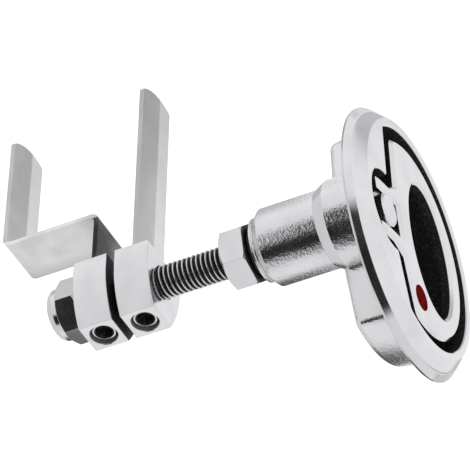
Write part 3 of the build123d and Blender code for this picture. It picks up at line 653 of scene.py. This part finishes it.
def steel(name, color, roughness, wave, grain, grain_stretch=(1, 1, 1), cast=None, mild_shade_and_patches=None,
          heavy_shade=None, painted_shade=None, rim=None):
    """Stainless steel: softened edges, slow waves of the hand polish, fine scratches, faint stains.

    The masks, in the order of the arguments, are the pitted skin of a casting, painted shade on
    one side or edge of an arm with random darker patches, heavier painted shade, near-black painted
    shade in hollows, bores and gaps, and the rolled rim.
    """
    material, tree, shader = shaded_material(name)
    stain = spread(tree, noise(tree, STAIN_SCALE, detail=4), 0.0, 1.0, *STAIN_RANGE)
    tint = blend_colors(tree, stain, color, scaled(color, STAIN_TONE))
    rough = noise(tree, ROUGH_SCALE, detail=5, stretch=grain_stretch)
    rough = spread(tree, rough, *roughness, *ROUGH_RANGE)
    # Painted shade on part of an arm, as a darker tone of the steel, with random darker patches on
    # the outer arm.
    if mild_shade_and_patches is not None:
        tint = blend_colors(tree, mild_shade_and_patches(tree), tint, scaled(color, SHADE_AND_PATCH_TONE))
    # Heavier, near-black painted shade.
    if heavy_shade is not None:
        tint = blend_colors(tree, heavy_shade(tree), tint, HEAVY_SHADE_COLOR)
    shader.inputs["Metallic"].default_value = 1.0
    # Painted shade: near-black with lighter specks, rougher and not metallic, standing in for
    # shadow in hollows and gaps.
    if painted_shade is not None:
        dark = painted_shade(tree)
        specks = noise(tree, CAST_SCALE, detail=4, roughness=0.7)
        specks = spread(tree, specks, 0.0, 1.0, *SPECK_RANGE)
        shade_color = blend_colors(tree, specks, PAINTED_SHADE_COLOR, PAINTED_SHADE_SPECK)
        tint = blend_colors(tree, dark, tint, shade_color)
        rough = combine(tree, "MAXIMUM", rough, combine(tree, "MULTIPLY", dark, PAINTED_SHADE_ROUGHNESS))
        tree.links.new(combine(tree, "SUBTRACT", 1.0, dark), shader.inputs["Metallic"])
        shader.inputs["Specular IOR Level"].default_value = PAINTED_SHADE_GLOSS
    tree.links.new(tint, shader.inputs["Base Color"])
    tree.links.new(rough, shader.inputs["Roughness"])
    normal = soft_edges(tree, EDGE_R)
    if rim is not None:
        normal = blend_vectors(tree, rim(tree), normal, rolled_rim(tree))
    normal = bump(tree, noise(tree, WAVE_SCALE), wave, normal)
    if cast is not None:
        pits = noise(tree, CAST_SCALE, detail=3, roughness=0.6)
        pits = combine(tree, "MULTIPLY", pits, cast(tree))
        normal = bump(tree, pits, CAST_DEPTH, normal)
    normal = bump(tree, noise(tree, GRAIN_SCALE, stretch=grain_stretch), grain, normal)
    tree.links.new(normal, shader.inputs["Normal"])
    return material


def plastic(name, color, roughness, mottle=0.08, gloss=0.5):
    """Moulded plastic or rubber with a faint mottle and fine grain."""
    material, tree, shader = shaded_material(name)
    shader.inputs["Specular IOR Level"].default_value = gloss
    shade = spread(tree, noise(tree, MOTTLE_SCALE, detail=3), 0.0, 1.0, *MOTTLE_RANGE)
    tint = blend_colors(tree, shade, color, scaled(color, 1 - mottle))
    tree.links.new(tint, shader.inputs["Base Color"])
    rough = spread(tree, shade, roughness, roughness + PLASTIC_ROUGH_SPAN)
    tree.links.new(rough, shader.inputs["Roughness"])
    normal = bump(tree, noise(tree, PLASTIC_GRAIN_SCALE), PLASTIC_GRAIN)
    tree.links.new(normal, shader.inputs["Normal"])
    return material


def make_thread(name, node, pitch, depth):
    """Helical thread over the whole length of a plain rod that stands along Z."""
    rod_low, rod_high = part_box(node)
    axis_x = (rod_low.x + rod_high.x) / 2
    axis_y = (rod_low.y + rod_high.y) / 2
    radius = (rod_high.x - rod_low.x) / 2
    turns = math.ceil((rod_high.z - rod_low.z) / pitch) + 1
    mesh = bmesh.new()
    rings = []
    for turn in range(-1, turns):
        for along, sunk in THREAD_PROFILE:
            ring = []
            for step in range(THREAD_STEPS + 1):
                share = step / THREAD_STEPS
                angle = share * 2 * math.pi
                z = rod_low.z + (turn + along + share) * pitch
                held = min(max(z, rod_low.z), rod_high.z)
                near_end = min(held - rod_low.z, rod_high.z - held)
                chamfer = max(0.0, depth - near_end)
                reach = radius - max(depth * sunk, chamfer)
                ring.append(mesh.verts.new((axis_x + reach * math.cos(angle),
                                            axis_y + reach * math.sin(angle), held)))
            rings.append(ring)
    for lower, upper in zip(rings, rings[1:]):
        for step in range(THREAD_STEPS):
            mesh.faces.new((lower[step], lower[step + 1], upper[step + 1], upper[step]))
    bmesh.ops.remove_doubles(mesh, verts=mesh.verts, dist=THREAD_WELD)
    bmesh.ops.dissolve_degenerate(mesh, edges=mesh.edges, dist=THREAD_WELD)
    bmesh.ops.holes_fill(mesh, edges=mesh.edges)
    bmesh.ops.recalc_face_normals(mesh, faces=mesh.faces)
    data = bpy.data.meshes.new(name)
    mesh.to_mesh(data)
    mesh.free()
    thread = bpy.data.objects.new(name, data)
    bpy.context.scene.collection.objects.link(thread)
    return thread


def make_materials():
    """Finishes by the record's slot name."""
    return {
        "polished_stainless": steel("polished_stainless", POLISHED, POLISHED_ROUGH, SLOW_WAVE,
                                    FINE_GRAIN),
        # The inner arm gets painted shade on one side.
        "brushed_stainless": steel("brushed_stainless", BRUSHED, BRUSHED_ROUGH, SMALL_WAVE,
                                   BRUSH_GRAIN, ALONG_ARM, mild_shade_and_patches=shaded_arm_side),
        "turned_stainless": steel("turned_stainless", TURNED, TURNED_ROUGH, FAINT_WAVE,
                                  FINE_GRAIN, ALONG_SPINDLE),
        "threaded_stainless": steel("threaded_stainless", POLISHED, THREAD_ROUGH, FAINT_WAVE,
                                    FINE_GRAIN, painted_shade=in_thread),
        "spring_wire": steel("spring_wire", DRAWN_WIRE, WIRE_ROUGH, FAINT_WAVE, FINE_GRAIN),
        "acetal": plastic("acetal", ACETAL, roughness=0.4),
        "nylon": plastic("nylon", NYLON, roughness=0.35),
        "seal_rubber": plastic("seal_rubber", RUBBER, roughness=0.6),
        "red_enamel": plastic("red_enamel", RED, roughness=0.4, mottle=0.5, gloss=0.0),
    }


def make_special_materials():
    """Finishes of single nodes, which change from place to place on the piece, with painted shade
    in places.
    """
    inner_low, inner_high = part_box("inner_clamp_block")
    outer_low, outer_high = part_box("outer_clamp_block")
    inner_z = (inner_low.z + inner_high.z) / 2
    outer_z = (outer_low.z + outer_high.z) / 2
    # Heights of the painted shade in the gap between both blocks.
    shut = (outer_high.z - GAP_FACE_T, inner_low.z + GAP_FACE_T)
    return {
        "housing": steel("cast_housing", POLISHED, HOUSING_ROUGH, SLOW_WAVE, FINE_GRAIN,
                         cast=behind_seat, painted_shade=in_recess, rim=at_rim),
        "bearing_barrel": steel("cast_barrel", POLISHED, CAST_ROUGH, SMALL_WAVE, FINE_GRAIN,
                                cast=whole),
        "handle": steel("cast_handle", POLISHED, POLISHED_ROUGH, SMALL_WAVE, FINE_GRAIN,
                        painted_shade=in_finger_hole),
        # The outer arm gets painted shade on its legs, random darker patches, and heavier painted
        # shade on its first leg.
        "outer_arm": steel("stepped_arm", STEPPED_BRUSHED, STEPPED_ROUGH, SMALL_WAVE, BRUSH_GRAIN,
                           ALONG_ARM, mild_shade_and_patches=stepped_arm_shade_and_patches, heavy_shade=first_leg_shade),
        "spindle": steel("spindle_steel", TURNED, TURNED_ROUGH, FAINT_WAVE, FINE_GRAIN,
                         ALONG_SPINDLE, painted_shade=socket_end),
        "jam_nut": steel("jam_nut_steel", POLISHED, NUT_ROUGH, SMALL_WAVE, FINE_GRAIN,
                         painted_shade=nut_front),
        "inner_clamp_block": steel("inner_block", POLISHED, CAST_ROUGH, SMALL_WAVE, FINE_GRAIN,
                                   painted_shade=in_bores(inner_z, *shut)),
        "outer_clamp_block": steel("outer_block", POLISHED, CAST_ROUGH, SMALL_WAVE, FINE_GRAIN,
                                   painted_shade=in_bores(outer_z, *shut)),
        "inner_set_screw": steel("inner_screw", SCREW_STEEL, SCREW_ROUGH, FAINT_WAVE, FINE_GRAIN,
                                 painted_shade=in_socket(inner_z)),
        "outer_set_screw": steel("outer_screw", SCREW_STEEL, SCREW_ROUGH, FAINT_WAVE, FINE_GRAIN,
                                 painted_shade=in_socket(outer_z)),
    }


def dress_cad_nodes(materials, special):
    """Gives every CAD node its own finish, or that of its slot in the record."""
    for part in frame["record"]["subparts"]:
        node = frame["nodes"][part["node"]]
        node.data.materials.clear()
        finish = special.get(part["node"]) or materials[part["material_slot"]]
        node.data.materials.append(finish)


make_world()
make_floor()
make_tent()
make_key_lamp()
make_camera()
materials = make_materials()
dress_cad_nodes(materials, make_special_materials())

stud_thread = make_thread("stud_thread", "stud", THREAD_PITCH, THREAD_DEPTH)
stud_thread.data.materials.append(materials["threaded_stainless"])
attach(stud_thread, "stud")
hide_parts("stud")

bpy.context.scene.view_settings.view_transform = "Standard"
